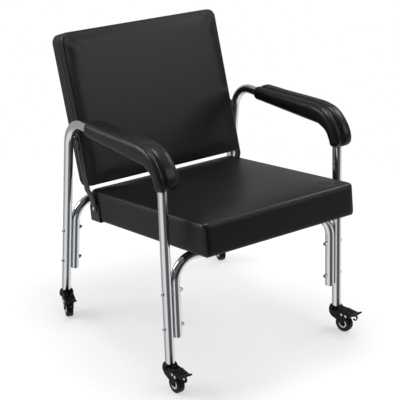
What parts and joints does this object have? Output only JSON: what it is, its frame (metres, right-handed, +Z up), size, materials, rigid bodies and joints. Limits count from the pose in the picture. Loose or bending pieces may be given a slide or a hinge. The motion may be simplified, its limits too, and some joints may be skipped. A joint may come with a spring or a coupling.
{
  "type": "hairdressing chair",
  "caption": "Reclining wash-basin chair: chromed tube frame on braked casters, padded arms, and an upholstered back linked to a seat that slides as the back leans.",
  "frame": {"origin": "on the floor, under the middle of the chair's box", "axes": "+Z up, -Y the way the sitter faces, +X to the right of someone who faces the chair"},
  "size_m": [0.6504, 0.7149, 0.822],
  "materials": {
    "chromed_steel": "polished",
    "black_vinyl": "satin",
    "plywood": "matte",
    "black_steel": "satin",
    "zinc_steel": "satin",
    "black_plastic": "satin",
    "white_nylon": "matte",
    "caster_tread": "matte"
  },
  "bodies": {
    "frame": {"arch_bolt_front_left_lower": "zinc_steel", "arch_bolt_front_left_upper": "zinc_steel", "arch_bolt_front_right_lower": "zinc_steel", "arch_bolt_front_right_upper": "zinc_steel", "arch_bolt_rear_left_lower": "zinc_steel", "arch_bolt_rear_left_upper": "zinc_steel", "arch_bolt_rear_right_lower": "zinc_steel", "arch_bolt_rear_right_upper": "zinc_steel", "arch_cap_nut_front_left_lower": "zinc_steel", "arch_cap_nut_front_left_upper": "zinc_steel", "arch_cap_nut_front_right_lower": "zinc_steel", "arch_cap_nut_front_right_upper": "zinc_steel", "arch_cap_nut_rear_left_lower": "zinc_steel", "arch_cap_nut_rear_left_upper": "zinc_steel", "arch_cap_nut_rear_right_lower": "zinc_steel", "arch_cap_nut_rear_right_upper": "zinc_steel", "arm_pad_left": "black_vinyl", "arm_pad_right": "black_vinyl", "caster_stem_front_left": "zinc_steel", "caster_stem_front_right": "zinc_steel", "caster_stem_rear_left": "zinc_steel", "caster_stem_rear_right": "zinc_steel", "front_arch": "chromed_steel", "pivot_stud_left": "zinc_steel", "pivot_stud_right": "zinc_steel", "rear_arch": "chromed_steel", "side_frame_left": "chromed_steel", "side_frame_right": "chromed_steel"},
    "back": {"back_board": "plywood", "back_cushion": "black_vinyl", "back_strap_left": "black_steel", "back_strap_right": "black_steel", "strap_screw_left_lower": "black_steel", "strap_screw_left_upper": "black_steel", "strap_screw_right_lower": "black_steel", "strap_screw_right_upper": "black_steel"},
    "seat": {"hinge_bolt_left": "zinc_steel", "hinge_bolt_right": "zinc_steel", "seat_board": "plywood", "seat_bracket_left": "black_steel", "seat_bracket_right": "black_steel", "seat_cushion": "black_vinyl", "seat_runner_left": "white_nylon", "seat_runner_right": "white_nylon"},
    "pedal_front_left": {"brake_pedal_front_left": "black_plastic"},
    "pedal_front_right": {"brake_pedal_front_right": "black_plastic"},
    "pedal_rear_left": {"brake_pedal_rear_left": "black_plastic"},
    "pedal_rear_right": {"brake_pedal_rear_right": "black_plastic"},
    "swivel_front_left": {"caster_axle_front_left": "zinc_steel", "caster_fork_front_left": "black_plastic"},
    "swivel_front_right": {"caster_axle_front_right": "zinc_steel", "caster_fork_front_right": "black_plastic"},
    "swivel_rear_left": {"caster_axle_rear_left": "zinc_steel", "caster_fork_rear_left": "black_plastic"},
    "swivel_rear_right": {"caster_axle_rear_right": "zinc_steel", "caster_fork_rear_right": "black_plastic"},
    "wheel_front_left": {"caster_wheel_front_left": "caster_tread"},
    "wheel_front_right": {"caster_wheel_front_right": "caster_tread"},
    "wheel_rear_left": {"caster_wheel_rear_left": "caster_tread"},
    "wheel_rear_right": {"caster_wheel_rear_right": "caster_tread"}
  },
  "joints": [
    {"name": "back_recline", "type": "hinge", "parent": "frame", "child": "back", "pos_m": [0.00179, 0.22747, 0.548], "axis": [-1, 0, 0], "range_deg": [0, 25]},
    {"name": "seat_pivot", "type": "hinge", "parent": "back", "child": "seat", "pos_m": [0.00179, 0.16225, 0.35365], "axis": [1, 0, 0], "range_deg": [0, 31.3]},
    {"name": "caster_swivel_front_left", "type": "hinge", "parent": "frame", "child": "swivel_front_left", "pos_m": [-0.28321, -0.25412, 0], "axis": [0, 0, 1], "continuous": true},
    {"name": "wheel_roll_front_left", "type": "hinge", "parent": "swivel_front_left", "child": "wheel_front_left", "pos_m": [-0.28321, -0.28412, 0.025], "axis": [1, 0, 0], "continuous": true},
    {"name": "brake_front_left", "type": "hinge", "parent": "swivel_front_left", "child": "pedal_front_left", "pos_m": [-0.28321, -0.29862, 0.0548], "axis": [1, 0, 0], "range_deg": [0, 12]},
    {"name": "caster_swivel_front_right", "type": "hinge", "parent": "frame", "child": "swivel_front_right", "pos_m": [0.28679, -0.25412, 0], "axis": [0, 0, 1], "continuous": true},
    {"name": "wheel_roll_front_right", "type": "hinge", "parent": "swivel_front_right", "child": "wheel_front_right", "pos_m": [0.29302, -0.28347, 0.025], "axis": [0.9781, 0.2079, 0], "continuous": true},
    {"name": "brake_front_right", "type": "hinge", "parent": "swivel_front_right", "child": "pedal_front_right", "pos_m": [0.29604, -0.29765, 0.0548], "axis": [0.9781, 0.2079, 0], "range_deg": [0, 12]},
    {"name": "caster_swivel_rear_left", "type": "hinge", "parent": "frame", "child": "swivel_rear_left", "pos_m": [-0.28321, 0.27868, 0], "axis": [0, 0, 1], "continuous": true},
    {"name": "wheel_roll_rear_left", "type": "hinge", "parent": "swivel_rear_left", "child": "wheel_rear_left", "pos_m": [-0.29347, 0.25049, 0.025], "axis": [0.9397, -0.342, 0], "continuous": true},
    {"name": "brake_rear_left", "type": "hinge", "parent": "swivel_rear_left", "child": "pedal_rear_left", "pos_m": [-0.29843, 0.23686, 0.0548], "axis": [0.9397, -0.342, 0], "range_deg": [0, 12]},
    {"name": "caster_swivel_rear_right", "type": "hinge", "parent": "frame", "child": "swivel_rear_right", "pos_m": [0.28679, 0.27868, 0], "axis": [0, 0, 1], "continuous": true},
    {"name": "wheel_roll_rear_right", "type": "hinge", "parent": "swivel_rear_right", "child": "wheel_rear_right", "pos_m": [0.29556, 0.30737, 0.025], "axis": [-0.9563, 0.2924, 0], "continuous": true},
    {"name": "brake_rear_right", "type": "hinge", "parent": "swivel_rear_right", "child": "pedal_rear_right", "pos_m": [0.2998, 0.32123, 0.0548], "axis": [-0.9563, 0.2924, 0], "range_deg": [0, 12]}
  ],
  "couplings": [
    {"joint": "seat_pivot", "follows": "back_recline", "ratio": 1.25}
  ]
}
